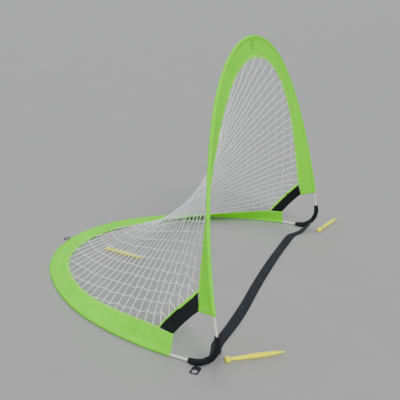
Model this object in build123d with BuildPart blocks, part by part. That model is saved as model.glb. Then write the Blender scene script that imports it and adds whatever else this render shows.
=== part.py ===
from build123d import *
import os
from math import cos, radians, sin, tan

# Pop up goal: two fibreglass arches, one lying on the ground and one standing, meet at
# two flexible corners. A fabric band is sewn round each arch, and a diamond mesh net is
# stretched between the bands. A webbing strap on the ground ties the corners together.
#
# Millimetres and degrees. X runs along the goal line, +Y to the back of the goal, +Z up.
# The origin is on the ground, under the middle of the ground strap.

# ---- driving dimensions -------------------------------------------------------------
mouth_width = 1220.0          # between the two corners, rod axis to rod axis
upright_tilt = 10.06          # how far the standing arch leans back from the vertical
corner_y = -85.0              # line on which the two arch planes meet
corner_z = 11.6
corner_tangent = 101.0        # from the sharp corner to each end of the corner bend

# Each arch, foot to crown: (radius, turn in degrees). The crown arc closes it.
base_arcs = ((1313.0, 17.4), (850.0, 18.6), (990.0, 10.0))
upright_arcs = ((1065.0, 17.4), (1140.0, 14.3), (610.0, 15.3))

rod_radius = 4.0
channel_inner_radius = 5.3    # fabric channel that the rod runs through
channel_radius = 6.3
plug_gap = 2.0                # rod end to the start of the corner bend
sleeve_reach = 12.0           # corner sleeve and hose, past the bend
band_start = 77.0             # where the fabric band begins, past the bend

hose_bore_radius = 4.3
hose_radius = 7.0
sleeve_bore_radius = 7.3
sleeve_radius = 10.8

ferrule_radius = 5.0
ferrule_bore_radius = 4.02
ferrule_length = 60.0

seam_gap = 0.35               # between neighbouring pieces of sewn cloth
strip_gap = 1.8               # between a band and its edging tape, which are not parallel
net_gap = 3.0                 # between an edging tape and the net
band_width = 58.0
band_thickness = 1.2
band_foot_tilt = 100.0        # angle of the band to its arch plane, extrapolated to height 0
band_tilt_power = 1.75        # how fast that angle dies away towards the crown
tape_width = 6.0              # edging tape between a band and the net
tape_thickness = 2.2
band_stations = 37

net_start = 136.0             # where the net begins, past the bend
tape_start = 150.0            # where its edging tapes begin, clear of the gussets
net_thickness = 1.2
valley_slope = 37.5           # direction of the net's waist, seen from the fold axis
valley_low = 163.0            # distance of the waist from the fold axis at a gusset
valley_rise = 262.0           # how much further it is in the middle
valley_power = 0.8
waist_draw = 0.28             # how far the net's ribs lean in towards the middle
net_stations = 25
net_rib_points = 11

fold_y = corner_y + 44.0      # axis about which the corners flex
fold_z = corner_z + 37.0

gusset_inset = 2.0            # clear of the end of the bands
gusset_thickness = 1.2
gusset_binding_size = (8.0, 3.0)

strap_width = 38.0
strap_thickness = 2.0
strap_flat_half = 480.0       # half the length that lies flat on the ground
strap_left_y = -15.0
strap_right_y = 12.0
strap_waist = (-60.0, 0.0)    # where its two gentle bends meet
strap_left_bow = (-290.0, -17.0)

tab_size = (38.0, 28.0, 2.0)  # peg tab: length, width, thickness
tab_hole_radius = 9.6
tab_hole_inset = 13.0         # hole centre from the outer end

peg_length = 200.0
peg_head_radius = 10.8
peg_head_length = 16.0
peg_neck_radius = 5.5
peg_neck_end = 30.0
peg_blade_half = 9.0
peg_blade_thickness = 3.6     # of each of the two crossed blades

# name: head end of the peg on the ground, and the way it points
pegs = {
    "left_peg": ((-560.0, -73.0), -52.5),
    "right_peg": ((573.0, -93.0), -13.0),
    "back_peg": ((-25.0, 712.0), -95.0),
}

half_width = mouth_width / 2
x_axis = Vector(1, 0, 0)

os.makedirs("parts", exist_ok=True)


def save(builder, name):
    """Label a finished sub-part and write it."""
    builder.part.label = name
    export_step(builder.part, f"parts/{name}.step")


# ---- the arch outline ---------------------------------------------------------------
def half_outline(arcs):
    """Arcs of the left half, foot to crown: centre, radius, first and last heading.

    A heading of 0 runs away from the corner line, and 90 runs along +X.
    """
    x, height, heading = -half_width, corner_tangent, 0.0
    pieces = []
    for radius, turn in arcs:
        centre = (x + radius * cos(radians(heading)), height - radius * sin(radians(heading)))
        pieces.append((centre, radius, heading, heading + turn))
        heading += turn
        x = centre[0] - radius * cos(radians(heading))
        height = centre[1] + radius * sin(radians(heading))
    radius = -x / cos(radians(heading))
    centre = (0.0, height - radius * sin(radians(heading)))
    pieces.append((centre, radius, heading, 90.0))
    return pieces


def outline_breaks(pieces):
    """Distances along the left half at which one arc gives way to the next."""
    breaks = [0.0]
    for _, radius, first, last in pieces:
        breaks.append(breaks[-1] + radius * radians(last - first))
    return breaks


class Arch:
    """One arch: a plane through the corner line, and a symmetric chain of arcs in it."""

    def __init__(self, arcs, rise, band_side):
        self.rise = rise                    # unit vector from the corner line to the crown
        self.band_side = band_side          # the side of its plane that the band stands on
        self.pieces = half_outline(arcs)
        self.breaks = outline_breaks(self.pieces)
        self.half_length = self.breaks[-1]
        self.length = 2 * self.half_length
        self.height = self.pieces[-1][0][1] + self.pieces[-1][1]

    def frame(self, distance):
        """Point, tangent and inward normal at a distance from the end of the left bend."""
        mirrored = distance > self.half_length
        along = self.length - distance if mirrored else distance
        index = 0
        while index < len(self.pieces) - 1 and along > self.breaks[index + 1]:
            index += 1
        centre, radius, first, _ = self.pieces[index]
        heading = radians(first) + (along - self.breaks[index]) / radius
        side = -1 if mirrored else 1
        x = side * (centre[0] - radius * cos(heading))
        height = centre[1] + radius * sin(heading)
        origin = Vector(0, corner_y, corner_z)
        point = origin + x_axis * x + self.rise * height
        tangent = x_axis * sin(heading) + self.rise * (side * cos(heading))
        inward = x_axis * (side * cos(heading)) - self.rise * sin(heading)
        return point, tangent, inward, height

    def cloth_frame(self, distance):
        """Point, tangent and the direction in which the cloth leaves the rod."""
        point, tangent, inward, height = self.frame(distance)
        slack = max(0.0, 1 - height / self.height)
        tilt = radians(band_foot_tilt * slack**band_tilt_power)
        return point, tangent, inward * cos(tilt) + self.band_side * sin(tilt)

    def stops(self, start, end):
        """Arc ends between two distances, with both distances."""
        inner = [b for b in self.breaks[1:-1]] + [self.length - b for b in self.breaks[1:-1]]
        crown = [self.half_length]
        return sorted([start, end] + [b for b in inner + crown if start < b < end])

    def edges(self, start, end):
        """The rod axis between two distances, as tangent arcs."""
        marks = self.stops(start, end)
        for a, b in zip(marks[:-1], marks[1:]):
            ThreePointArc(self.frame(a)[0], self.frame((a + b) / 2)[0], self.frame(b)[0])


# The base arch sinks a little to its crown, where its fabric channel lies on the ground.
crown_centre, crown_radius, _, _ = half_outline(base_arcs)[-1]
back_sink = (corner_z - channel_radius) / (crown_centre[1] + crown_radius)
base_arch = Arch(base_arcs, Vector(0, 1, -back_sink).normalized(), Vector(0, back_sink, 1).normalized())
lean = radians(upright_tilt)
upright_arch = Arch(upright_arcs, Vector(0, sin(lean), cos(lean)), Vector(0, cos(lean), -sin(lean)))


def corner_bend(side):
    """Ends and middle of the bend that joins the two arches, on one side of the goal."""
    distance_base = 0.0 if side < 0 else base_arch.length
    distance_upright = 0.0 if side < 0 else upright_arch.length
    base_end = base_arch.frame(distance_base)[0]
    upright_end = upright_arch.frame(distance_upright)[0]
    corner = Vector(side * half_width, corner_y, corner_z)
    half_angle = base_arch.rise.get_angle(upright_arch.rise) / 2
    bisector = (base_arch.rise + upright_arch.rise).normalized()
    radius = corner_tangent * tan(radians(half_angle))
    middle = corner + bisector * (corner_tangent / cos(radians(half_angle)) - radius)
    return base_end, middle, upright_end


def corner_edges(side, reach):
    """Rod axis through a corner, as far as reach past the bend on both arches."""
    base_end, middle, upright_end = corner_bend(side)
    if side < 0:
        base_arch.edges(0, reach)
    else:
        base_arch.edges(base_arch.length - reach, base_arch.length)
    ThreePointArc(base_end, middle, upright_end)
    if side < 0:
        upright_arch.edges(0, reach)
    else:
        upright_arch.edges(upright_arch.length - reach, upright_arch.length)


def start_plane(wire):
    """Plane across the first point of a wire."""
    return Plane(origin=wire @ 0, z_dir=wire % 0)


# ---- rods and ferrules --------------------------------------------------------------
def make_rod(arch, side):
    """Half an arch of rod, from inside the corner hose to the crown."""
    with BuildPart() as rod:
        with BuildLine() as axis:
            if side < 0:
                arch.edges(plug_gap, arch.half_length)
            else:
                arch.edges(arch.half_length, arch.length - plug_gap)
        path = axis.wire()
        with BuildSketch(start_plane(path)):
            Circle(rod_radius)
        sweep(path=path)
    return rod


def make_tube(arch, start, end, outer, bore):
    """Hollow tube round the rod axis between two distances."""
    with BuildPart() as tube:
        with BuildLine() as axis:
            arch.edges(start, end)
        path = axis.wire()
        with BuildSketch(start_plane(path)):
            Circle(outer)
            Circle(bore, mode=Mode.SUBTRACT)
        sweep(path=path)
    return tube


for arch_name, arch in (("base", base_arch), ("upright", upright_arch)):
    for side_name, side in (("left", -1), ("right", 1)):
        save(make_rod(arch, side), f"{arch_name}_rod_{side_name}")
    crown = arch.half_length
    half_ferrule = ferrule_length / 2
    ferrule = make_tube(
        arch, crown - half_ferrule, crown + half_ferrule, ferrule_radius, ferrule_bore_radius
    )
    save(ferrule, f"{arch_name}_rod_ferrule")
    channel = make_tube(
        arch, band_start, arch.length - band_start, channel_radius, channel_inner_radius
    )
    save(channel, f"{arch_name}_rod_channel")


# ---- corner hoses and sleeves -------------------------------------------------------
def make_corner_tube(side, outer, bore):
    """Hollow tube through a corner."""
    with BuildPart() as tube:
        with BuildLine() as axis:
            corner_edges(side, sleeve_reach)
        path = axis.wire()
        with BuildSketch(start_plane(path)):
            Circle(outer)
            Circle(bore, mode=Mode.SUBTRACT)
        sweep(path=path)
    return tube


for side_name, side in (("left", -1), ("right", 1)):
    save(make_corner_tube(side, hose_radius, hose_bore_radius), f"{side_name}_corner_hose")
    save(make_corner_tube(side, sleeve_radius, sleeve_bore_radius), f"{side_name}_corner_sleeve")


# ---- bands and edging tapes ---------------------------------------------------------
def make_strip(arch, start, near, width, thickness):
    """Strip of cloth that follows an arch, from near to near + width off the rod axis."""
    with BuildPart() as strip:
        for station in range(band_stations):
            distance = start + (arch.length - 2 * start) * station / (band_stations - 1)
            point, tangent, outward = arch.cloth_frame(distance)
            middle = point + outward * (near + width / 2)
            with BuildSketch(Plane(origin=middle, x_dir=outward, z_dir=tangent)):
                Rectangle(width, thickness)
        loft(ruled=True)
    return strip


band_near = channel_radius + seam_gap
tape_near = band_near + band_width + strip_gap
net_reach = tape_near + tape_width + net_gap
for arch_name, arch in (("base", base_arch), ("upright", upright_arch)):
    band = make_strip(arch, band_start, band_near, band_width, band_thickness)
    save(band, f"{arch_name}_band")
    tape = make_strip(arch, tape_start, tape_near, tape_width, tape_thickness)
    save(tape, f"{arch_name}_net_tape")


# ---- net ----------------------------------------------------------------------------
def edge_point(arch, share, reach):
    """Point beside a band, at a share of the way from the left gusset to the right one."""
    distance = net_start + (arch.length - 2 * net_start) * share
    point, _, outward = arch.cloth_frame(distance)
    return point + outward * reach


def waist_point(share, base_point, upright_point):
    """Where the rib at this share crosses the waist of the net."""
    gusset_x = abs(edge_point(base_arch, 0, net_reach).X)
    x = (base_point.X + upright_point.X) / 2 * (1 - waist_draw * sin(radians(180 * share)))
    spread = max(0.0, 1 - (x / gusset_x) ** 2)
    radius = valley_low + valley_rise * spread**valley_power
    slope = radians(valley_slope)
    return Vector(x, fold_y + radius * cos(slope), fold_z + radius * sin(slope))


def net_rib(share):
    """Points of one rib of the net, base band to upright band: a parabola."""
    base_point = edge_point(base_arch, share, net_reach)
    upright_point = edge_point(upright_arch, share, net_reach)
    control = waist_point(share, base_point, upright_point) * 2 - (base_point + upright_point) * 0.5
    points = []
    for step in range(net_rib_points):
        t = step / (net_rib_points - 1)
        points.append(base_point * (1 - t) ** 2 + control * (2 * t * (1 - t)) + upright_point * t**2)
    return points


net_face = Face.make_surface_from_array_of_points(
    [net_rib(station / (net_stations - 1)) for station in range(net_stations)]
)
with BuildPart() as net:
    thicken(net_face, amount=net_thickness / 2, both=True)
save(net, "net")


# ---- gussets ------------------------------------------------------------------------
def gusset_corners(side):
    """Lower and upper corners on the base band, then on the upright band."""
    corners = []
    for arch in (base_arch, upright_arch):
        for distance in (band_start + gusset_inset, net_start - gusset_inset):
            place = distance if side < 0 else arch.length - distance
            point, _, outward = arch.cloth_frame(place)
            corners.append(point + outward * (tape_near + gusset_binding_size[1]))
    return corners


def make_gusset(side):
    """Cloth web across a corner, from the base band to the upright band."""
    low_base, high_base, low_upright, high_upright = gusset_corners(side)
    with BuildPart() as gusset:
        for low, high in ((low_base, high_base), (low_upright, high_upright)):
            width = high - low
            along = Plane(origin=(low + high) / 2, x_dir=width, z_dir=width.cross(x_axis))
            with BuildSketch(along):
                Rectangle(width.length, gusset_thickness)
        loft(ruled=True)
    return gusset


def make_gusset_binding(side):
    """Folded tape on the edge of a gusset that faces the net."""
    _, high_base, _, high_upright = gusset_corners(side)
    run = high_upright - high_base
    outward = (high_base + high_upright) / 2 - Vector(high_base.X, fold_y, fold_z)
    lift = (outward - run * (outward.dot(run) / run.dot(run))).normalized()
    offset = lift * (gusset_binding_size[0] / 2 + seam_gap)
    with BuildPart() as binding:
        with BuildSketch(Plane(origin=high_base + offset, x_dir=lift, z_dir=run)):
            Rectangle(*gusset_binding_size)
        extrude(amount=run.length)
    return binding


for side_name, side in (("left", -1), ("right", 1)):
    save(make_gusset(side), f"{side_name}_gusset")
    save(make_gusset_binding(side), f"{side_name}_gusset_binding")


# ---- ground strap -------------------------------------------------------------------
def strap_end_sections(side, end_y):
    """Middle of the strap and its roll, from the flat run up to the corner sleeve."""
    _, bend_middle, _ = corner_bend(side)
    seam_x = half_width - sleeve_radius - seam_gap
    flat = Vector(side * strap_flat_half, end_y, strap_thickness / 2)
    seam = Vector(side * seam_x, bend_middle.Y, bend_middle.Z)
    for share, rise, roll in ((0, 0, 0), (0.4, 0.12, -12), (0.72, 0.45, -30), (1, 1, -50)):
        middle = flat + (seam - flat) * share
        middle.Z = flat.Z + (seam.Z - flat.Z) * rise
        yield middle, radians(roll)


strap_ends = {-1: strap_left_y, 1: strap_right_y}
with BuildPart() as ground_strap:
    with BuildLine() as strap_line:
        level = strap_thickness / 2
        left_bend = ThreePointArc(
            (-strap_flat_half, strap_left_y, level),
            (*strap_left_bow, level),
            (*strap_waist, level),
        )
        TangentArc(
            left_bend @ 1, (strap_flat_half, strap_right_y, level), tangent=left_bend % 1
        )
    strap_path = strap_line.wire()
    with BuildSketch(Plane(origin=strap_path @ 0, x_dir=(0, 1, 0), z_dir=strap_path % 0)):
        Rectangle(strap_width, strap_thickness)
    sweep(path=strap_path)
    for side, end_y in strap_ends.items():
        for middle, roll in strap_end_sections(side, end_y):
            across = Vector(0, cos(roll), sin(roll))
            with BuildSketch(Plane(origin=middle, x_dir=across, z_dir=x_axis)):
                Rectangle(strap_width, strap_thickness)
        loft(ruled=True)
save(ground_strap, "ground_strap")


# ---- peg tabs -----------------------------------------------------------------------
def make_peg_tab(root, heading):
    """Webbing tab on the ground with a round hole for a peg."""
    length, width, thickness = tab_size
    ground = Plane(origin=root, x_dir=(cos(radians(heading)), sin(radians(heading)), 0))
    with BuildPart() as tab:
        with BuildSketch(ground):
            with Locations((length / 2, 0)):
                RectangleRounded(length, width, width / 4)
            with Locations((length - tab_hole_inset, 0)):
                Circle(tab_hole_radius, mode=Mode.SUBTRACT)
        extrude(amount=thickness)
    return tab


side_tab_y = corner_y + 78.0
side_tab_x = half_width + 6.0
crown_y = base_arch.frame(base_arch.half_length)[0].Y
save(make_peg_tab((-side_tab_x, side_tab_y, 0), 180), "left_peg_tab")
save(make_peg_tab((side_tab_x, side_tab_y, 0), 0), "right_peg_tab")
save(make_peg_tab((0, crown_y + channel_radius + seam_gap, 0), 90), "back_peg_tab")


# ---- pegs ---------------------------------------------------------------------------
def make_peg(head_end, heading):
    """Ground peg lying down: domed head, neck, and two crossed blades that taper to a point."""
    direction = (cos(radians(heading)), sin(radians(heading)), 0)
    lying = Plane(origin=(*head_end, peg_head_radius), x_dir=direction)
    edge_on = Plane(origin=(*head_end, peg_head_radius), x_dir=direction, z_dir=lying.y_dir)
    dome = peg_head_radius
    with BuildPart() as peg:
        with BuildSketch(lying):
            with BuildLine():
                ThreePointArc((0, 0), (dome * (1 - cos(radians(45))), dome * sin(radians(45))), (dome, dome))
                Polyline(
                    (dome, dome),
                    (peg_head_length - 2, dome),
                    (peg_head_length, dome - 2),
                    (peg_head_length + 2, peg_neck_radius),
                    (peg_neck_end, peg_neck_radius),
                    (peg_neck_end + 3, 0),
                    (0, 0),
                )
            make_face()
        revolve(axis=Axis(lying.origin, lying.x_dir))
        start = peg_neck_end - 4
        for plane in (lying, edge_on):
            with BuildSketch(plane):
                Polygon(
                    (start, -peg_neck_radius),
                    (peg_length * 0.55, -peg_blade_half),
                    (peg_length * 0.85, -peg_blade_half * 0.65),
                    (peg_length, 0),
                    (peg_length * 0.85, peg_blade_half * 0.65),
                    (peg_length * 0.55, peg_blade_half),
                    (start, peg_neck_radius),
                    align=None,
                )
            extrude(amount=peg_blade_thickness / 2, both=True)
    return peg


for peg_name, (head_end, heading) in pegs.items():
    save(make_peg(head_end, heading), peg_name)
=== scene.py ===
import math
import random

import bpy
import numpy as np
from mathutils import Matrix, Vector, noise


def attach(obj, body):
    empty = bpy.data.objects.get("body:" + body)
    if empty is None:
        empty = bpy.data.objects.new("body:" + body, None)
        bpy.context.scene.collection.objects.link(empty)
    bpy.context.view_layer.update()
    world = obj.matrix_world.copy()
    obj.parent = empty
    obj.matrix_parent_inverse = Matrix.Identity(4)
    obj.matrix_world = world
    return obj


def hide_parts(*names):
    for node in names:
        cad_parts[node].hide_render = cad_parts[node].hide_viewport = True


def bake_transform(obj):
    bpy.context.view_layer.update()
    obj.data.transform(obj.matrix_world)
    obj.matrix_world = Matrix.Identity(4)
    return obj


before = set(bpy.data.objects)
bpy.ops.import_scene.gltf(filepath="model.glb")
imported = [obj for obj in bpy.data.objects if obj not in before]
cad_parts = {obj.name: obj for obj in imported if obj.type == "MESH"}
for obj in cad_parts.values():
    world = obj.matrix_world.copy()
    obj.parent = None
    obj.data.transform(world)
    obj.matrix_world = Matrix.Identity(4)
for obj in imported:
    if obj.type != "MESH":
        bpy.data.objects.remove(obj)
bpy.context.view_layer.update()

chance = random.Random(11)

# Pop up goal: two sprung arches in lime fabric bands, black corner gussets and sleeves, a
# diamond net of knotted twine, a webbing strap on the ground, and three loose pegs.

# ---- camera and light ----------------------------------------------------------------------
LENS, SENSOR = 51.55, 36                 # millimetres
CAMERA_PLACE = (-1.958, -0.615, 1.088)
CAMERA_TURN = (24.29, 20.17, 0.46)       # heading, pitch below level and roll, in degrees

camera = bpy.data.objects.new("camera", bpy.data.cameras.new("camera"))
bpy.context.scene.collection.objects.link(camera)
bpy.context.scene.camera = camera
camera.data.lens, camera.data.sensor_width = LENS, SENSOR
yaw, pitch, roll = (math.radians(a) for a in CAMERA_TURN)
level = Vector((math.cos(yaw), math.sin(yaw), 0))
forward = level * math.cos(pitch) - Vector((0, 0, math.sin(pitch)))
right = Vector((math.sin(yaw), -math.cos(yaw), 0))
above = right.cross(forward)
camera_right = right * math.cos(roll) + above * math.sin(roll)
camera_up = above * math.cos(roll) - right * math.sin(roll)
turn = Matrix((camera_right, camera_up, -forward)).transposed().to_4x4()
camera.matrix_world = Matrix.Translation(CAMERA_PLACE) @ turn


def add_light(name, place, spread_degrees, strength, colour=(1, 1, 1)):
    """Soft light from far off, so that the floor is evenly lit."""
    lamp = bpy.data.lights.new(name, "SUN")
    lamp.angle, lamp.energy, lamp.color = math.radians(spread_degrees), strength, colour
    holder = bpy.data.objects.new(name, lamp)
    bpy.context.scene.collection.objects.link(holder)
    holder.location = place
    holder.rotation_euler = Vector(place).to_track_quat("Z", "Y").to_euler()


add_light("key", (-2.2, -2.9, 3.9), 22, 2.4, (1, 0.985, 0.96))
add_light("fill", (-3.2, 2.2, 2.0), 70, 0.7, (0.93, 0.97, 1))
add_light("rim", (2.8, 2.0, 3.0), 50, 0.8)
world = bpy.data.worlds.new("studio")
world.use_nodes = True
world.node_tree.nodes["Background"].inputs["Color"].default_value = (0.93, 0.95, 1, 1)
world.node_tree.nodes["Background"].inputs["Strength"].default_value = 0.46
bpy.context.scene.world = world


# ---- materials -----------------------------------------------------------------------------
class Look:
    """A procedural material: a Principled shader and the nodes that feed it."""

    def __init__(self, name, **sockets):
        self.material = bpy.data.materials.new(name)
        self.material.use_nodes = True
        self.tree = self.material.node_tree
        self.shader = self.tree.nodes["Principled BSDF"]
        for socket, value in sockets.items():
            self.shader.inputs[socket.replace("_", " ")].default_value = value

    def add(self, kind, operation=None, links=(), **values):
        node = self.tree.nodes.new("ShaderNode" + kind)
        if operation:
            node.operation = operation
        for key, value in values.items():
            setattr(node, key, value)
        for socket, source in dict(links).items():
            if isinstance(source, (int, float, tuple)):
                node.inputs[socket].default_value = source
            else:
                self.tree.links.new(source, node.inputs[socket])
        return node

    def math(self, operation, *sources):
        return self.add("Math", operation, links=enumerate(sources)).outputs[0]

    def spot(self, scale, detail=3.0):
        """Noise over the piece, at this scale."""
        links = {"Scale": scale, "Detail": detail, "Roughness": 0.55}
        links["Vector"] = self.add("TexCoord").outputs["Object"]
        return self.add("TexNoise", links=links).outputs["Fac"]

    def remap(self, source, low, high, start=0.3, stop=0.7):
        """The source's range from start to stop, as low to high."""
        links = {"Value": source, "From Min": start, "From Max": stop}
        links |= {"To Min": low, "To Max": high}
        return self.add("MapRange", links=links).outputs[0]

    def mix(self, share, a, b):
        """Colour a where the share is 0, and b where it is 1."""
        node = self.add("Mix", data_type="RGBA")
        for index, source in ((0, share), (6, a), (7, b)):
            if isinstance(source, (int, float)):
                node.inputs[index].default_value = source
            elif isinstance(source, tuple):
                node.inputs[index].default_value = (*source, 1)
            else:
                self.tree.links.new(source, node.inputs[index])
        return node.outputs[2]

    def bump(self, height, strength, distance, under=None):
        links = {"Height": height, "Strength": strength, "Distance": distance}
        if under is not None:
            links["Normal"] = under
        return self.add("Bump", links=links).outputs[0]

    def wire(self, **sockets):
        for socket, source in sockets.items():
            self.tree.links.new(source, self.shader.inputs[socket.replace("_", " ")])

    def weave(self, pitch, ribs=False):
        """Height of a plain weave, or of webbing's ribs, from the piece's own cloth map."""
        cloth = self.add("UVMap", uv_map="cloth").outputs[0]
        split = self.add("SeparateXYZ", links={0: cloth})
        ways = []
        for out, step in ((0, pitch), (1, pitch * (0.45 if ribs else 1))):
            angle = self.math("MULTIPLY", split.outputs[out], 2 * math.pi / step)
            ways.append(self.math("SINE", angle))
        if ribs:
            cross = self.math("MULTIPLY", self.math("ABSOLUTE", ways[0]), 0.8)
            return self.math("ADD", cross, self.math("MULTIPLY", ways[1], 0.2)), split
        return self.math("MULTIPLY", ways[0], ways[1]), split


def cloth_look(name, dark, light, pitch, ribs=False, rough=(0.55, 0.75), depth=0.00022, **sockets):
    """Woven fabric: threads, slow colour change, faint dirt towards the ground."""
    look = Look(name, **sockets)
    threads, split = look.weave(pitch, ribs)
    slow = look.remap(look.spot(9.0, 4), 0, 1)
    colour = look.mix(slow, dark, light)
    # painted shade: the colour is darkened towards a shaded copy of the dark tone in the gaps
    # between threads
    shade = tuple(c * 0.62 for c in dark)
    gaps = look.math("MULTIPLY", look.remap(threads, 0, 1, 1, -1), 0.12 if ribs else 0.2)
    colour = look.mix(gaps, colour, shade)
    height = look.add("SeparateXYZ", links={0: look.add("TexCoord").outputs["Object"]}).outputs[2]
    low_down = look.remap(height, 0.30, 0, 0, 0.07)
    soil = look.math("MULTIPLY", low_down, look.remap(look.spot(38, 5), 0, 1))
    colour = look.mix(soil, colour, tuple(0.35 * c + 0.01 for c in dark))
    fold = look.bump(look.spot(55, 4), 0.25, 0.0012)
    surface = look.bump(threads, 0.55, depth, fold)
    look.wire(Base_Color=colour, Roughness=look.remap(look.spot(70), *rough), Normal=surface)
    return look, split


def band_look(name):
    # the emission is a painted glow that makes the lime cloth brighter and greener; the cloth is
    # no lamp
    return cloth_look(
        name, (0.16, 0.82, 0.0), (0.21, 0.97, 0.0), 0.0011, Sheen_Weight=0.02,
        Specular_IOR_Level=0.25, Emission_Color=(0.24, 1.0, 0.0, 1), Emission_Strength=0.18,
    )


lime_fabric = band_look("lime_fabric")[0].material
MARK_REACH = 0.034       # from the rod's far side, on the front of the band
MARK_STRETCH = 2.1       # how much wider it is than high
MARK_RADIUS = 0.0095
MARK_LINE = 0.0017       # half the width of the ring's line
MARK_BAR = (0.0185, 0.012, 0.0014)    # distance below the ring's middle, half width, half height


def print_mark(look, split, crown):
    """A plain oval ring over a plain bar, printed at the crown of a band."""
    across = look.math("ABSOLUTE", look.math("SUBTRACT", split.outputs[0], crown))
    across = look.math("DIVIDE", across, MARK_STRETCH)
    out = look.math("SUBTRACT", split.outputs[1], MARK_REACH)
    square = look.math("ADD", look.math("POWER", across, 2), look.math("POWER", out, 2))
    off_ring = look.math("SUBTRACT", look.math("SQRT", square), MARK_RADIUS)
    ring = look.math("LESS_THAN", look.math("ABSOLUTE", off_ring), MARK_LINE)
    drop, bar_width, bar_height = MARK_BAR
    down = look.math("ABSOLUTE", look.math("SUBTRACT", split.outputs[1], MARK_REACH + drop))
    low_enough = look.math("LESS_THAN", down, bar_height)
    bar = look.math("MULTIPLY", low_enough, look.math("LESS_THAN", across, bar_width))
    ink = look.math("MULTIPLY", look.math("MAXIMUM", ring, bar), 0.85)
    plain = look.shader.inputs["Base Color"].links[0].from_socket
    look.wire(Base_Color=look.mix(ink, plain, (0.012, 0.055, 0.012)))


# the emission is a painted glow that makes the lime binding brighter and greener; the binding is
# no lamp
lime_binding = cloth_look(
    "lime_binding", (0.20, 0.80, 0.0), (0.27, 0.95, 0.004), 0.0016, ribs=True, depth=0.0004,
    Sheen_Weight=0.1, Emission_Color=(0.28, 1.0, 0.0, 1), Emission_Strength=0.26,
)[0].material
black_fabric = cloth_look(
    "black_fabric", (0.002, 0.0025, 0.004), (0.005, 0.006, 0.009), 0.0012, rough=(0.5, 0.7),
    Sheen_Weight=0.02, Specular_IOR_Level=0.3,
)[0].material
strap_webbing = cloth_look(
    "strap_webbing", (0.003, 0.0045, 0.013), (0.006, 0.009, 0.024), 0.0024, ribs=True,
    rough=(0.55, 0.72), depth=0.0005, Sheen_Weight=0.02, Specular_IOR_Level=0.3,
)[0].material

thread = Look("lime_thread", Sheen_Weight=0.3)
twist = thread.spot(900, 2)
thread.wire(
    Base_Color=thread.mix(thread.remap(twist, 0, 1), (0.40, 0.80, 0.08), (0.66, 1.0, 0.26)),
    Roughness=thread.remap(twist, 0.45, 0.7), Normal=thread.bump(twist, 0.4, 0.0002),
)
lime_thread = thread.material

# the emission is a painted glow that makes the twine look whiter; the twine is no lamp
twine = Look(
    "net_twine", Sheen_Weight=0.3, Sheen_Roughness=0.5,
    Emission_Color=(0.9, 0.95, 1.0, 1), Emission_Strength=0.10,
)
strands = twine.spot(750, 3)
grime = twine.remap(twine.spot(16, 4), 0, 1, 0.35, 0.75)
twine_colour = twine.mix(grime, (0.88, 0.91, 0.93), (0.97, 0.98, 0.98))
# painted shade: the twine is darkened towards a cool grey in the grooves between its strands
twine_gaps = twine.math("MULTIPLY", twine.remap(strands, 1, 0), 0.22)
twine.wire(
    Base_Color=twine.mix(twine_gaps, twine_colour, (0.52, 0.56, 0.60)),
    Roughness=twine.remap(strands, 0.55, 0.8), Normal=twine.bump(strands, 0.7, 0.0004),
)
net_twine = twine.material

glass = Look("glass_fibre_rod", Coat_Weight=0.35, Coat_Roughness=0.15)
fibres = glass.spot(420, 4)
glass.wire(
    Base_Color=glass.mix(glass.remap(fibres, 0, 1), (0.74, 0.75, 0.71), (0.90, 0.90, 0.87)),
    Roughness=glass.remap(glass.spot(160), 0.28, 0.45), Normal=glass.bump(fibres, 0.2, 0.0002),
)
steel = Look("crimped_steel", Metallic=1.0)
scratches = steel.spot(600, 5)
steel.wire(
    Base_Color=steel.mix(steel.remap(scratches, 0, 1), (0.48, 0.48, 0.47), (0.66, 0.66, 0.65)),
    Roughness=steel.remap(scratches, 0.25, 0.5), Normal=steel.bump(scratches, 0.15, 0.0001),
)
rubber = Look("hose_rubber")
bloom = rubber.spot(220, 5)
rubber.wire(
    Base_Color=rubber.mix(rubber.remap(bloom, 0, 1), (0.012, 0.012, 0.012), (0.035, 0.034, 0.033)),
    Roughness=rubber.remap(bloom, 0.55, 0.8), Normal=rubber.bump(bloom, 0.3, 0.0003),
)
# the emission is a painted glow that makes the yellow pegs brighter; the plastic is no lamp
plastic = Look("peg_plastic", Emission_Color=(0.98, 1.0, 0.0, 1), Emission_Strength=0.16)
grain = plastic.spot(900, 2)
dirt = plastic.math("MULTIPLY", plastic.remap(plastic.spot(60, 5), 0, 1, 0.52, 0.75), 0.15)
yellow = plastic.mix(plastic.remap(plastic.spot(30), 0, 1), (0.93, 0.88, 0.0), (0.97, 0.97, 0.0))
plastic.wire(
    Base_Color=plastic.mix(dirt, yellow, (0.33, 0.30, 0.03)),
    Roughness=plastic.remap(grain, 0.36, 0.5), Normal=plastic.bump(grain, 0.25, 0.0002),
)
floor_look = Look("pale_floor", Roughness=0.9)
floor_tone = floor_look.remap(floor_look.spot(3), 0, 1)
floor_look.wire(Base_Color=floor_look.mix(floor_tone, (0.345, 0.35, 0.345), (0.37, 0.37, 0.365)))

ground = bpy.data.meshes.new("floor")
reach = 200.0
corners = [(-reach, -reach, 0), (reach, -reach, 0), (reach, reach, 0), (-reach, reach, 0)]
ground.from_pydata(corners, [], [(0, 1, 2, 3)])
ground.materials.append(floor_look.material)
floor = bpy.data.objects.new("floor", ground)
bpy.context.scene.collection.objects.link(floor)

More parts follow.
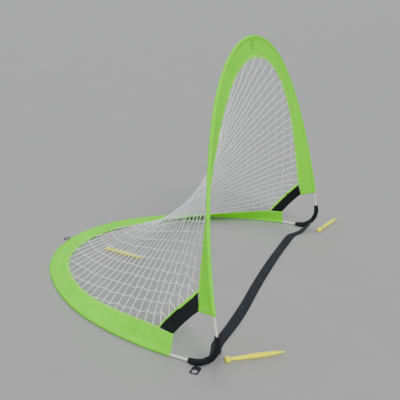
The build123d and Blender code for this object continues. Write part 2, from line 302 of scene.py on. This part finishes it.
# ---- dimensions of the frame, in metres and degrees, as the model has them ---------------
HALF_WIDTH = 0.610
TILT = 10.06
CORNER = np.array((0.0, -0.085, 0.0116))     # the line on which the two arch planes meet
CORNER_TANGENT = 0.101
BASE_ARCS = ((1.313, 17.4), (0.850, 18.6), (0.990, 10.0))
UPRIGHT_ARCS = ((1.065, 17.4), (1.140, 14.3), (0.610, 15.3))
CHANNEL_RADIUS = 0.0063
SLEEVE_REACH = 0.012
BAND_START = 0.077
NET_START = 0.136
BAND_EDGE = 0.0665                           # rod axis to the band's raw edge, under its binding
TAPE_EDGE = 0.0724                           # and to the inner edge of the binding
CLOTH_TILT = 100.0
CLOTH_POWER = 1.75
FOLD = np.array((0.0, -0.041, 0.0486))       # the axis on which the corners flex


class Arch:
    """A plane through the corner line, and a symmetric chain of arcs in it."""

    def __init__(self, arcs, rise, cloth_side):
        self.rise, self.cloth_side = np.array(rise), np.array(cloth_side)
        x, height, heading, start = -HALF_WIDTH, CORNER_TANGENT, 0.0, 0.0
        self.pieces = []
        for radius, turn in (*arcs, (None, None)):
            radius = radius or -x / math.cos(heading)
            turn = math.radians(turn) if turn else math.pi / 2 - heading
            centre = (x + radius * math.cos(heading), height - radius * math.sin(heading))
            self.pieces.append((centre, radius, heading, start))
            heading += turn
            start += radius * turn
            x = centre[0] - radius * math.cos(heading)
            height = centre[1] + radius * math.sin(heading)
        self.length, self.height = 2 * start, height

    def frame(self, distance):
        """Point, tangent and inward normal at a distance past the end of the left bend."""
        side = 1 if distance <= self.length / 2 else -1
        along = distance if side > 0 else self.length - distance
        centre, radius, first, start = [p for p in self.pieces if p[3] <= max(along, 0.0)][-1]
        heading = first + (along - start) / radius
        x = side * (centre[0] - radius * math.cos(heading))
        height = centre[1] + radius * math.sin(heading)
        point = CORNER + np.array((x, 0, 0)) + self.rise * height
        across = np.array((1.0, 0, 0))
        tangent = across * math.sin(heading) + self.rise * (side * math.cos(heading))
        inward = across * (side * math.cos(heading)) - self.rise * math.sin(heading)
        return point, tangent, inward, height

    def cloth(self, distance):
        """Point, tangent and the direction in which the cloth leaves the rod."""
        point, tangent, inward, height = self.frame(distance)
        tilt = math.radians(CLOTH_TILT * max(0.0, 1 - height / self.height) ** CLOTH_POWER)
        return point, tangent, inward * math.cos(tilt) + self.cloth_side * math.sin(tilt)


sink = (CORNER[2] - CHANNEL_RADIUS) / Arch(BASE_ARCS, (0, 1, 0), (0, 0, 1)).height
lean = math.radians(TILT)
run = math.hypot(1, sink)
BASE = Arch(BASE_ARCS, (0, 1 / run, -sink / run), (0, sink / run, 1 / run))
UPRIGHT = Arch(
    UPRIGHT_ARCS, (0, math.sin(lean), math.cos(lean)), (0, math.cos(lean), -math.sin(lean))
)

# ---- the net ------------------------------------------------------------------------------
MESHES = 29           # cells along each side of the square sheet of net
GUSSET_MESHES = 4.2   # of them, how many end on a gusset
HANGING = 2.5         # how evenly the cords are spread along the bands
GUSSET_PULL = 0.4     # how hard a cord pulls at a gusset, against 1 elsewhere
NET_EDGE = 0.0705     # rod axis to where the cords enter the binding


def spread(share):
    """Share of the cords met by this share of a band's edge."""
    def rise(s):
        return 2 * s / (1 + (2 * s) ** HANGING) ** (1 / HANGING)
    return rise(share) / rise(1.0)


def net_edge(arch, share):
    distance = NET_START + (arch.length - 2 * NET_START) * share
    point, _, outward = arch.cloth(distance)
    return point + outward * NET_EDGE


def gusset_edge(side, share):
    """Edge of a gusset that faces the net, base band to upright band, a little bowed."""
    end = 0.0 if side < 0 else 1.0
    low, high = net_edge(BASE, end), net_edge(UPRIGHT, end)
    middle = (low + high) / 2
    bow = middle - np.array((middle[0], FOLD[1], FOLD[2]))
    bow = bow / np.linalg.norm(bow) * (0.004 + 0.003 * math.sin(math.pi * share))
    return low + (high - low) * share + bow


def net_cords():
    """Knots of the net by (i, j), and its cords as (family, first point, knots, last point).

    The sheet is a square mesh hung by its corners, so i and j both run slantwise, and the
    knots settle where the pulls of their cords balance.
    """
    shares = np.linspace(0, 1, 2001)
    reach = MESHES - GUSSET_MESHES
    far = GUSSET_MESHES + reach * spread(shares)       # row met along a band, from the left
    near = reach * (1 - spread(1 - shares))

    def ends(row, family):
        """Grid places and points of a cord's two ends."""
        first_arch, last_arch = (BASE, UPRIGHT) if family == 0 else (UPRIGHT, BASE)
        if row < GUSSET_MESHES:
            share = 1 - row / GUSSET_MESHES if family == 0 else row / GUSSET_MESHES
            first = (GUSSET_MESHES - row, gusset_edge(-1, share), True)
        else:
            place = np.interp(row, far, near)
            first = (place, net_edge(first_arch, np.interp(row, far, shares)), False)
        left = MESHES - row
        if left < GUSSET_MESHES:
            share = left / GUSSET_MESHES if family == 0 else 1 - left / GUSSET_MESHES
            last = (MESHES + left - GUSSET_MESHES, gusset_edge(1, share), True)
        else:
            place = np.interp(row, near, far)
            last = (place, net_edge(last_arch, np.interp(row, near, shares)), False)
        return first, last

    rows = range(1, MESHES)
    limits = {(f, row): ends(row, f) for f in (0, 1) for row in rows}
    knots = {}
    for j in rows:
        for i in rows:
            (low_i, _, _), (high_i, _, _) = limits[0, j]
            (low_j, _, _), (high_j, _, _) = limits[1, i]
            if low_i + 0.15 < i < high_i - 0.15 and low_j + 0.15 < j < high_j - 0.15:
                knots[i, j] = len(knots)
    matrix, load = np.zeros((len(knots), len(knots))), np.zeros((len(knots), 3))
    strings = []
    for (family, row), (first, last) in limits.items():
        keys = [(k, row) if family == 0 else (row, k) for k in rows]
        keys = [key for key in keys if key in knots]
        if not keys:
            continue
        for a, b in zip(keys[:-1], keys[1:]):
            a, b = knots[a], knots[b]
            matrix[a, a] += 1
            matrix[b, b] += 1
            matrix[a, b] -= 1
            matrix[b, a] -= 1
        for key, (place, point, on_gusset) in ((keys[0], first), (keys[-1], last)):
            pull = (GUSSET_PULL if on_gusset else 1) / max(abs(key[family] - place), 0.3)
            matrix[knots[key], knots[key]] += pull
            load[knots[key]] += pull * point
        strings.append((family, first[1], keys, last[1]))
    solved = np.linalg.solve(matrix, load)
    return {key: solved[index] for key, index in knots.items()}, strings


# ---- mesh building -------------------------------------------------------------------------
def grid_mesh(name, loops, along, across, material, ring=False):
    """Closed loops of points joined into a tube, with a cloth map in metres.

    along has a value for each loop, and across one for each point and one more to close it.
    ring joins the last loop to the first, and otherwise both ends are closed.
    """
    loops = np.asarray(loops, float)
    count, size, _ = loops.shape
    faces, corners = [], []
    for i in range(count if ring else count - 1):
        n = (i + 1) % count
        for j in range(size):
            m = (j + 1) % size
            faces.append((i * size + j, i * size + m, n * size + m, n * size + j))
            ahead = along[i + 1] if i + 1 < len(along) else along[i]
            corners += [
                (along[i], across[j]), (along[i], across[j + 1]),
                (ahead, across[j + 1]), (ahead, across[j]),
            ]
    if not ring:
        for i, order in ((0, range(size - 1, -1, -1)), (count - 1, range(size))):
            faces.append(tuple(i * size + j for j in order))
            corners += [(along[i], across[j]) for j in order]
    mesh = bpy.data.meshes.new(name)
    mesh.from_pydata(loops.reshape(-1, 3).tolist(), [], faces)
    layer = mesh.uv_layers.new(name="cloth")
    layer.data.foreach_set("uv", np.asarray(corners, float).ravel())
    return place_mesh(name, mesh, material)


def place_mesh(name, mesh, material):
    mesh.materials.append(material)
    mesh.polygons.foreach_set("use_smooth", [True] * len(mesh.polygons))
    mesh.update()
    piece = bpy.data.objects.new(name, mesh)
    bpy.context.scene.collection.objects.link(piece)
    return piece


def joined_tubes(name, tubes, material, sides):
    """Many separate tubes as one piece; each is a list of loops with this many points."""
    vertices, faces = [], []
    for loops in tubes:
        base = len(vertices)
        for loop in loops:
            vertices += [tuple(p) for p in loop]
        for i in range(len(loops) - 1):
            for j in range(sides):
                m = (j + 1) % sides
                a, b = base + i * sides, base + (i + 1) * sides
                faces.append((a + j, a + m, b + m, b + j))
        last = base + (len(loops) - 1) * sides
        faces.append(tuple(base + j for j in range(sides - 1, -1, -1)))
        faces.append(tuple(last + j for j in range(sides)))
    mesh = bpy.data.meshes.new(name)
    mesh.from_pydata(vertices, [], faces)
    return place_mesh(name, mesh, material)


def unit(v):
    return v / np.linalg.norm(v)


def round_loops(points, radii, sides):
    """Circles round a line of points, turned as little as possible from one to the next."""
    points = np.asarray(points, float)
    tangents = np.gradient(points, axis=0)
    tangents /= np.linalg.norm(tangents, axis=1)[:, None]
    side = unit(np.cross(tangents[0], (0.31, 0.17, 0.94)))
    angles = np.arange(sides) * 2 * math.pi / sides
    loops = []
    for point, tangent, radius in zip(points, tangents, radii):
        side = unit(side - tangent * side.dot(tangent))
        up = np.cross(tangent, side)
        radius = np.broadcast_to(radius, sides)
        loops.append([
            point + (side * math.cos(a) + up * math.sin(a)) * r for a, r in zip(angles, radius)
        ])
    return loops


def fan_out(piece, slot, *nodes):
    """Bake a piece's place into its mesh; it stands for these nodes, which are hidden."""
    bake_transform(piece)
    dress(piece, slot, *nodes)


def dress(piece, slot, *nodes):
    if nodes:
        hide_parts(*nodes)


# ---- bands ---------------------------------------------------------------------------------
printed, printed_split = band_look("lime_fabric_printed")
print_mark(printed, printed_split, UPRIGHT.length / 2)
printed_fabric = printed.material
CHANNEL = 0.0059      # middle of the cloth where it goes round the rod
CHANNEL_END = 0.0085  # reach at which the cloth has left the rod and lies flat
CLOTH = 0.0005        # one layer
HEM_LENGTH = 0.012
HEM_SWELL, SEAM_SWELL = 1.55, 0.55    # thickness at the hems and seams, against 1 elsewhere


def ripple(arch, distance, reach):
    """How far the cloth stands off its smooth surface."""
    seed = 3.0 if arch is BASE else 40.0
    share = reach / BAND_EDGE
    ends = min(1.0, (distance - BAND_START) / 0.05, (arch.length - BAND_START - distance) / 0.05)
    slow = noise.noise(Vector((distance / 0.16, share * 0.6, seed)))
    quick = noise.noise(Vector((distance / 0.055, share * 1.4, seed + 9)))
    pucker = noise.noise(Vector((distance / 0.009, 0, seed + 20)))
    pucker *= math.exp(-(((reach - 0.013) / 0.009) ** 2))
    ends = max(0.25, ends)
    return ends * (0.0030 * share**1.4 * slow + 0.0011 * share * quick) + 0.0007 * pucker


def band_section():
    """(reach, height) of the cloth's middle line: back along the top, round the rod, and out."""
    top = [(reach, 0.0004) for reach in np.linspace(BAND_EDGE, CHANNEL_END + 0.001, 9)]
    turns = np.radians(np.linspace(32, 328, 13))
    bend = [(CHANNEL * math.cos(t), CHANNEL * math.sin(t)) for t in turns]
    return top + bend + [(a, -b) for a, b in reversed(top)]


def offset_line(line, by):
    line = np.array(line)
    step = np.gradient(line, axis=0)
    normal = np.stack((-step[:, 1], step[:, 0]), 1) / np.linalg.norm(step, axis=1)[:, None]
    return line + normal * by


def arch_axes(arch, distance):
    """Point on the rod's axis, and the directions along it, out along the cloth and off it."""
    point, tangent, outward = arch.cloth(distance)
    return point, tangent, outward, np.cross(tangent, outward)


def make_band(arch, name, seams):
    """Cloth folded round the rod and sewn to itself."""
    middle_line = band_section()
    inner, outer = offset_line(middle_line, -CLOTH / 2), offset_line(middle_line, CLOTH / 2)
    line = np.vstack((inner, outer[::-1]))
    start, end = BAND_START, arch.length - BAND_START
    stations = list(np.linspace(start, end, 340))
    for place in [start + HEM_LENGTH, end - HEM_LENGTH] + seams:
        stations += [place - 0.0016, place - 0.0006, place + 0.0006, place + 0.0016]
    loops, stations = [], sorted(stations)
    for distance in stations:
        point, _, outward, up = arch_axes(arch, distance)
        hem = distance < start + HEM_LENGTH or distance > end - HEM_LENGTH
        seam = any(abs(distance - s) < 0.001 for s in seams)
        loop = []
        for reach, height in line:
            flat = reach > CHANNEL_END
            swell = (HEM_SWELL if hem else SEAM_SWELL if seam else 1.0) if flat else 1.0
            lift = ripple(arch, distance, reach if flat else CHANNEL_END)
            lift *= 1 if flat else max(0, reach) / CHANNEL_END
            loop.append(point + outward * reach + up * (height * swell + lift))
        loops.append(loop)
    run = np.concatenate(([0], np.cumsum(np.linalg.norm(np.diff(line, axis=0), axis=1))))
    # the map counts outwards from the rod's far side, and is positive on the front
    half = len(middle_line)
    sides = run[:half] - run[half // 2]
    sides = np.concatenate((sides, sides[::-1], [-run[half // 2]]))
    return grid_mesh(name, loops, stations, sides, lime_fabric if arch is BASE else printed_fabric)


def make_edge_tape(arch, name):
    """Tape folded over the band's edge and sewn through; the net hangs from it."""
    start, end = NET_START, arch.length - NET_START
    stations = np.linspace(start, end, 300)
    section = [(-0.0096, 0.00125), (-0.0049, 0.0013), (-0.0012, 0.00115), (0, 0.0004)]
    section = [(TAPE_EDGE + a, b) for a, b in section]
    section += [(a, -b) for a, b in reversed(section)]
    loops = []
    for distance in stations:
        point, _, outward, up = arch_axes(arch, distance)
        lift = ripple(arch, distance, BAND_EDGE)
        pinch = 1 + 0.10 * noise.noise(Vector((distance / 0.007, 5, 0)))
        loops.append([point + outward * a + up * (b * pinch + lift) for a, b in section])
    across = [0.0, 0.0047, 0.0084, 0.0098, 0.0106, 0.0120, 0.0157, 0.0204, 0.0215]
    return grid_mesh(name, loops, stations, across, lime_binding)


STITCH_PITCH = 0.0056
STITCH_RADIUS = 0.00038
STITCH_LIFT = 0.00022
STITCH_SHAPE = ((0, -0.5, 0.6), (0.5, 1.0, 1.0), (1, -0.5, 0.6))    # share, rise and width


def lay_stitch(places, height):
    """One raised thread; places are the point, sideways and upward directions along it."""
    ring = []
    for (spot, sideways, up), (_, rise, width) in zip(places, STITCH_SHAPE):
        spot = spot + up * (height + math.copysign(STITCH_LIFT, height) * rise)
        side, lift = sideways * STITCH_RADIUS * width, up * STITCH_RADIUS * width * 0.5
        ring.append([spot - side, spot - lift, spot + side, spot + lift])
    return ring


def stitch_row(arch, start, end, reach, height):
    """Short raised threads along an arch, on one side of its cloth."""
    tubes = []
    for index in range(int((end - start) / STITCH_PITCH)):
        places = []
        for share, _, _ in STITCH_SHAPE:
            distance = start + STITCH_PITCH * (index + 0.62 * share)
            point, _, outward, up = arch_axes(arch, distance)
            spot = point + outward * reach + up * ripple(arch, distance, reach)
            places.append((spot, outward, up))
        tubes.append(lay_stitch(places, height))
    return tubes


def cross_row(arch, distance, height):
    """Stitches across a band."""
    tubes = []
    point, tangent, outward, up = arch_axes(arch, distance)
    for start in np.arange(0.012, BAND_EDGE - 0.0065, STITCH_PITCH):
        places = []
        for share, _, _ in STITCH_SHAPE:
            reach = start + 0.0035 * share
            spot = point + outward * reach + up * ripple(arch, distance, reach)
            places.append((spot, tangent, up))
        tubes.append(lay_stitch(places, height))
    return tubes


bands = {}
for arch, body in ((BASE, "base"), (UPRIGHT, "upright")):
    seams = [NET_START + 0.004, arch.length - NET_START - 0.004]
    band = make_band(arch, body + "_band_cloth", seams)
    fan_out(band, "lime_fabric", body + "_band", body + "_rod_channel")
    tape = make_edge_tape(arch, body + "_edge_tape")
    fan_out(tape, "lime_binding", body + "_net_tape")
    first, last = BAND_START + 0.004, arch.length - BAND_START - 0.004
    net_first, net_last = NET_START + 0.002, arch.length - NET_START - 0.002
    hem = HEM_LENGTH - 0.003
    rows = []
    for side in (-1, 1):
        rows += stitch_row(arch, first, last, 0.0105, side * 0.00075)
        rows += stitch_row(arch, net_first, net_last, BAND_EDGE - 0.0013, side * 0.0014)
        for place, thick in (
            (BAND_START + hem, 0.0012), (arch.length - BAND_START - hem, 0.0012),
            (seams[0] + 0.003, 0.00075), (seams[1] - 0.003, 0.00075),
        ):
            rows += cross_row(arch, place, side * thick)
    stitches = joined_tubes(body + "_band_stitching", rows, lime_thread, 4)
    fan_out(stitches, "lime_binding")
    bands[body] = (band, tape, stitches)

# ---- net -----------------------------------------------------------------------------------
TWINE = 0.00135
KNOT = 0.0024
SLACK_LENGTH = 15.0   # meshes from a gusset over which the slack twine straightens
SLACK_STEP = 0.0052   # how far a slack knot stands off along the tight cord

knots, strings = net_cords()
slack_of = {}
for i, j in knots:
    left = max(0.0, 1 - (i + j - GUSSET_MESHES) / SLACK_LENGTH)
    far_side = max(0.0, 1 - (2 * MESHES - i - j - GUSSET_MESHES) / SLACK_LENGTH)
    slack_of[i, j] = max(left, 0.7 * far_side)
moved = {}
for (i, j), place in knots.items():
    along = knots.get((i + 1, j), place) - knots.get((i - 1, j), place)
    if np.linalg.norm(along) > 0:
        sign = 1 if (i + j) % 2 else -1
        jitter = np.array([chance.gauss(0, 0.0011) for _ in range(3)])
        place = place + unit(along) * (SLACK_STEP * slack_of[i, j] * sign) + jitter
    moved[i, j] = place
tubes = []
for family, first, keys, last in strings:
    places = [first] + [moved[k] for k in keys] + [last]
    slacks = [slack_of[keys[0]]] + [slack_of[k] for k in keys] + [slack_of[keys[-1]]]
    line, radii = [], []
    for index, (a, b) in enumerate(zip(places[:-1], places[1:])):
        before = places[max(index - 1, 0)]
        after = places[min(index + 2, len(places) - 1)]
        length = np.linalg.norm(b - a)
        # slack twine turns sharply at its knots, and tight twine runs on
        smooth = 0.5 * (1 - 0.8 * slacks[index] * family)
        ta, tb = (b - before) * smooth * 0.5, (after - a) * smooth * 0.5
        droop = (0.0008 + 0.0028 * slacks[index] * family) * chance.uniform(0.4, 1.3)
        sag = np.array((0, 0, -droop))
        wobble = np.array([chance.gauss(0, 0.0006) for _ in range(3)])
        near = min(0.0022 / length, 0.2)
        for t, radius in (
            (0, KNOT), (near, KNOT * 0.86), (near * 2.1, TWINE), (0.38, TWINE),
            (0.62, TWINE), (1 - near * 2.1, TWINE), (1 - near, KNOT * 0.86),
        ):
            h1, h2 = 2 * t**3 - 3 * t**2 + 1, t**3 - 2 * t**2 + t
            h3, h4 = -2 * t**3 + 3 * t**2, t**3 - t**2
            place = a * h1 + ta * h2 + b * h3 + tb * h4
            line.append(place + (sag + wobble) * math.sin(math.pi * t))
            radii.append(TWINE if index == 0 and t < near * 2 else radius)
    line.append(places[-1])
    radii[-1] = TWINE
    radii.append(TWINE)
    tubes.append(round_loops(line, radii, 6))
fan_out(joined_tubes("net_twine_mesh", tubes, net_twine, 6), "net_twine", "net")


# ---- gussets -------------------------------------------------------------------------------
def gusset_frame(side):
    """Low and high corners on the base band, then on the upright band."""
    corners = []
    for arch in (BASE, UPRIGHT):
        for distance in (BAND_START + 0.002, NET_START - 0.001):
            point, _, outward = arch.cloth(distance if side < 0 else arch.length - distance)
            corners.append(point + outward * (BAND_EDGE - 0.001))
    return corners


def make_gusset(side, name):
    low_base, high_base, low_upright, high_upright = gusset_frame(side)
    lifts = unit((high_base + high_upright) / 2 - (low_base + low_upright) / 2)
    rows, columns = 40, 16
    faces = {1: [], -1: []}
    for i in range(rows):
        t = i / (rows - 1)
        low = low_base + (low_upright - low_base) * t + lifts * 0.003 * math.sin(math.pi * t)
        high = gusset_edge(side, t) - lifts * 0.002
        normal = unit(np.cross(high - low, low_upright - low_base))
        held = math.sin(math.pi * t)
        for sign in (1, -1):
            line = []
            for j in range(columns):
                s = j / (columns - 1)
                wave = noise.noise(Vector((t * 3.1, s * 1.6, side * 7.0))) * 0.0042
                wave += noise.noise(Vector((t * 9.0, s * 2.5, side * 11.0))) * 0.0016
                line.append(low + (high - low) * s + normal * (wave * held + sign * 0.00045))
            faces[sign].append(line)
    loops = [a + b[::-1] for a, b in zip(faces[1], faces[-1])]
    width = np.linalg.norm(high_base - low_base)
    steps = np.linspace(0, width, columns)
    across = list(steps) + list(2 * width + 0.001 - steps[::-1]) + [2 * width + 0.002]
    along = np.linspace(0, np.linalg.norm(high_upright - high_base), rows)
    return grid_mesh(name, loops, along, across, black_fabric)


def make_gusset_binding(side, name):
    _, high_base, _, high_upright = gusset_frame(side)
    run = unit(high_upright - high_base)
    section = [(-0.0042, 0.0013), (0, 0.00145), (0.0034, 0.0012), (0.0043, 0.0004)]
    section += [(a, -b) for a, b in reversed(section)]
    loops, shares = [], np.linspace(-0.015, 1.015, 60)
    for t in shares:
        centre = gusset_edge(side, min(max(t, 0), 1)) + run * (min(t, 0) + max(t - 1, 0)) * 0.2
        lift = unit(centre - np.array((centre[0], FOLD[1], FOLD[2])))
        lift = unit(lift - run * lift.dot(run))
        normal = np.cross(run, lift)
        wave = noise.noise(Vector((t * 9, 0, side * 5.0))) * 0.0012
        wave *= math.sin(math.pi * min(max(t, 0), 1))
        loops.append([centre + lift * (a - 0.0012) + normal * (b + wave) for a, b in section])
    across = [0.0, 0.0042, 0.0077, 0.0091, 0.0099, 0.0113, 0.0148, 0.0190, 0.0216]
    return grid_mesh(name, loops, shares * 0.2, across, lime_binding)


for side, word in ((-1, "left"), (1, "right")):
    gusset = make_gusset(side, word + "_gusset_cloth")
    fan_out(gusset, "black_fabric", word + "_gusset")
    binding = make_gusset_binding(side, word + "_gusset_tape")
    fan_out(binding, "lime_binding", word + "_gusset_binding")


# ---- corner hoses and sleeves --------------------------------------------------------------
CORNER_LENGTH = 0.205
HOSE_RADIUS, HOSE_BORE_RADIUS = 0.0068, 0.0044
SLEEVE_RADIUS, SLEEVE_LIMIT = 0.0082, 0.0118


def corner_line(side, reach, count):
    """Rod axis through a corner, and for each point its share of the way round the bend."""
    flip = np.array((side * -1.0, 1, 1))
    half = math.radians(90 - TILT + math.degrees(sink)) / 2
    bisector = unit(np.array(BASE.rise) + np.array(UPRIGHT.rise))
    corner = CORNER + np.array((-HALF_WIDTH, 0, 0))
    centre = corner + bisector * CORNER_TANGENT / math.cos(half)
    radius = CORNER_TANGENT * math.tan(half)
    start, end = BASE.frame(0)[0] - centre, UPRIGHT.frame(0)[0] - centre
    swing = math.acos(start.dot(end) / (np.linalg.norm(start) * np.linalg.norm(end)))
    bend = radius * swing
    line, shares = [], []
    for s in np.linspace(-reach, bend + reach, count):
        if s < 0:
            point, share = BASE.frame(-s)[0], 0.0
        elif s > bend:
            point, share = UPRIGHT.frame(s - bend)[0], 1.0
        else:
            share = s / bend
            point = centre + (
                start * math.sin((1 - share) * swing) + end * math.sin(share * swing)
            ) / math.sin(swing)
        line.append(point * flip)
        shares.append(share)
    return np.array(line), np.array(shares)


def bend_with_corner(piece, slot, node):
    """Bake the piece's place into its mesh, and hide the node it stands for."""
    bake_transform(piece)
    dress(piece, slot, node)


def make_sleeve(side, name):
    """Black cloth sleeve, bunched where the corner bends and gathered at its ends."""
    count, sides = 110, 28
    line, shares = corner_line(side, SLEEVE_REACH, count)
    outer, inner = [], []
    for index in range(count):
        s = index / (count - 1)
        ring = []
        for k in range(sides):
            a = 2 * math.pi * k / sides
            around = Vector((math.cos(a) * 0.8, math.sin(a) * 0.8, s * 26 + side * 3))
            crush = math.exp(-(((s - 0.5) / 0.3) ** 2))
            fold = abs(noise.noise(around)) * (0.0030 + 0.0022 * crush)
            fine = noise.noise(around * 2.3) * 0.0006
            cuff = 0.0008 * math.exp(-(((min(s, 1 - s) - 0.018) / 0.012) ** 2))
            loose = min(1.0, max(0.0, (min(s, 1 - s) - 0.012) / 0.07))
            radius = SLEEVE_RADIUS + cuff + (0.0010 + fold + fine) * loose
            ring.append(min(radius, SLEEVE_LIMIT))
        outer.append(ring)
        inner.append([r - 0.0008 for r in ring])
    loops = round_loops(line, outer, sides) + round_loops(line, inner, sides)[::-1]
    lengths = np.linspace(0, CORNER_LENGTH, count)
    along = list(lengths) + list(lengths[::-1]) + [0.0]
    across = np.linspace(0, 0.06, sides + 1)
    piece = grid_mesh(name, loops, along, across, black_fabric, ring=True)
    return piece, np.concatenate((shares, shares[::-1])), sides


def make_hose(side, name):
    count, sides = 60, 20
    line, shares = corner_line(side, SLEEVE_REACH, count)
    loops = round_loops(line, [HOSE_RADIUS] * count, sides)
    loops += round_loops(line, [HOSE_BORE_RADIUS] * count, sides)[::-1]
    lengths = np.linspace(0, CORNER_LENGTH, count)
    piece = grid_mesh(
        name, loops, list(lengths) + list(lengths[::-1]) + [0.0], np.linspace(0, 0.04, sides + 1),
        rubber.material, ring=True,
    )
    return piece, np.concatenate((shares, shares[::-1])), sides


for side, word in ((-1, "left"), (1, "right")):
    piece, shares, sides = make_sleeve(side, word + "_sleeve_cloth")
    bend_with_corner(piece, "black_fabric", word + "_corner_sleeve")
    piece, shares, sides = make_hose(side, word + "_elbow_hose")
    bend_with_corner(piece, "hose_rubber", word + "_corner_hose")

# ---- ground strap --------------------------------------------------------------------------
STRAP_WIDTH, STRAP_THICKNESS = 0.038, 0.0018
STRAP_LAY = 0.001     # height of its middle where it lies flat
# from each seam to where it lies flat: share of the way to the seam, share of the rise, and roll
STRAP_ENDS = ((1, 1, -50), (0.72, 0.45, -30), (0.4, 0.12, -12), (0, 0, 0))
seam_line, _ = corner_line(1, 0, 3)
seam = seam_line[1]


def strap_stations():
    """Middle and roll of the strap, left seam to right seam."""
    keys = []
    for side, end_y in ((-1, -0.015), (1, 0.012)):
        tip = np.array((side * (HALF_WIDTH - 0.0115), seam[1], seam[2]))
        flat = np.array((side * 0.480, end_y, STRAP_LAY))
        part = []
        for share, rise, roll in STRAP_ENDS:
            place = flat + (tip - flat) * share
            place[2] = flat[2] + (tip[2] - flat[2]) * rise
            part.append((place, roll))
        keys.append(part)
    between = [(-0.39, -0.0175), (-0.29, -0.017), (-0.17, -0.009), (-0.06, 0.0)]
    between += [(0.10, 0.0085), (0.26, 0.013), (0.38, 0.0135)]
    flat = [(np.array((x, y, STRAP_LAY)), 0) for x, y in between]
    return keys[0] + flat + keys[1][::-1]


def catmull(values, t):
    index = min(int(t), len(values) - 2)
    f = t - index
    a, b = values[index], values[index + 1]
    before, after = values[max(index - 1, 0)], values[min(index + 2, len(values) - 1)]
    ta, tb = (b - before) / 2, (after - a) / 2
    return (
        a * (2 * f**3 - 3 * f**2 + 1) + ta * (f**3 - 2 * f**2 + f)
        + b * (3 * f**2 - 2 * f**3) + tb * (f**3 - f**2)
    )


def make_strap():
    stations = strap_stations()
    places = [p for p, _ in stations]
    rolls = [np.array([r], float) for _, r in stations]
    loops, along, last, run = [], [], None, 0.0
    columns = np.linspace(-0.5, 0.5, 9)
    for t in np.linspace(0, len(places) - 1, 260):
        place, roll = catmull(places, t), float(catmull(rolls, t)[0])
        run += 0 if last is None else np.linalg.norm(place - last)
        last = place
        free = max(0.0, min(1.0, (0.50 - abs(place[0])) / 0.1))
        roll += 9 * noise.noise(Vector((place[0] * 5.5, 3, 0))) * free
        across = np.array((0, math.cos(math.radians(roll)), math.sin(math.radians(roll))))
        up = np.cross((1, 0, 0), across)
        cup = 0.0016 * noise.noise(Vector((place[0] * 8, 9, 0)))
        top = []
        for c in columns:
            height = STRAP_THICKNESS / 2 + cup * (4 * c * c - 1)
            top.append(place + across * c * STRAP_WIDTH + up * height)
        low = [p - up * STRAP_THICKNESS for p in top]
        loop = np.array(top + low[::-1])
        hover = 0.0022 * (0.5 + noise.noise(Vector((place[0] * 7, 20, 0)))) * free
        loop[:, 2] += max(hover, 0) - min(loop[:, 2].min(), 0)
        loops.append(loop)
        along.append(run)
    width = columns * STRAP_WIDTH
    across = list(width) + list(0.040 - width[::-1]) + [0.0800]
    return grid_mesh("ground_strap_webbing", loops, along, across, strap_webbing)


strap = make_strap()
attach(strap, "base")
dress(strap, "strap_webbing", "ground_strap")


# ---- carried-over solids -------------------------------------------------------------------
def repaint(node, look):
    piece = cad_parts[node]
    piece.data.materials.clear()
    piece.data.materials.append(look)


for body in ("base", "upright"):
    for word in ("left", "right"):
        repaint(f"{body}_rod_{word}", glass.material)
    repaint(body + "_rod_ferrule", steel.material)
tab_look = Look("tab_webbing")
tab_place = tab_look.add("TexCoord").outputs["Object"]
tab_wave = tab_look.add("TexWave", links={"Scale": 120.0, "Distortion": 1.0, "Vector": tab_place})
tab_ribs = tab_wave.outputs["Fac"]
tab_look.wire(
    Base_Color=tab_look.mix(tab_ribs, (0.008, 0.011, 0.018), (0.024, 0.030, 0.045)),
    Roughness=tab_look.remap(tab_look.spot(90), 0.45, 0.65),
    Normal=tab_look.bump(tab_ribs, 0.5, 0.0005),
)
for word in ("left", "right", "back"):
    repaint(word + "_peg_tab", tab_look.material)
    repaint(word + "_peg", plastic.material)

# ---- band, tape and stitching of each body -------------------------------------------------
for body, arch in (("base", BASE), ("upright", UPRIGHT)):
    band, tape, stitches = bands[body]
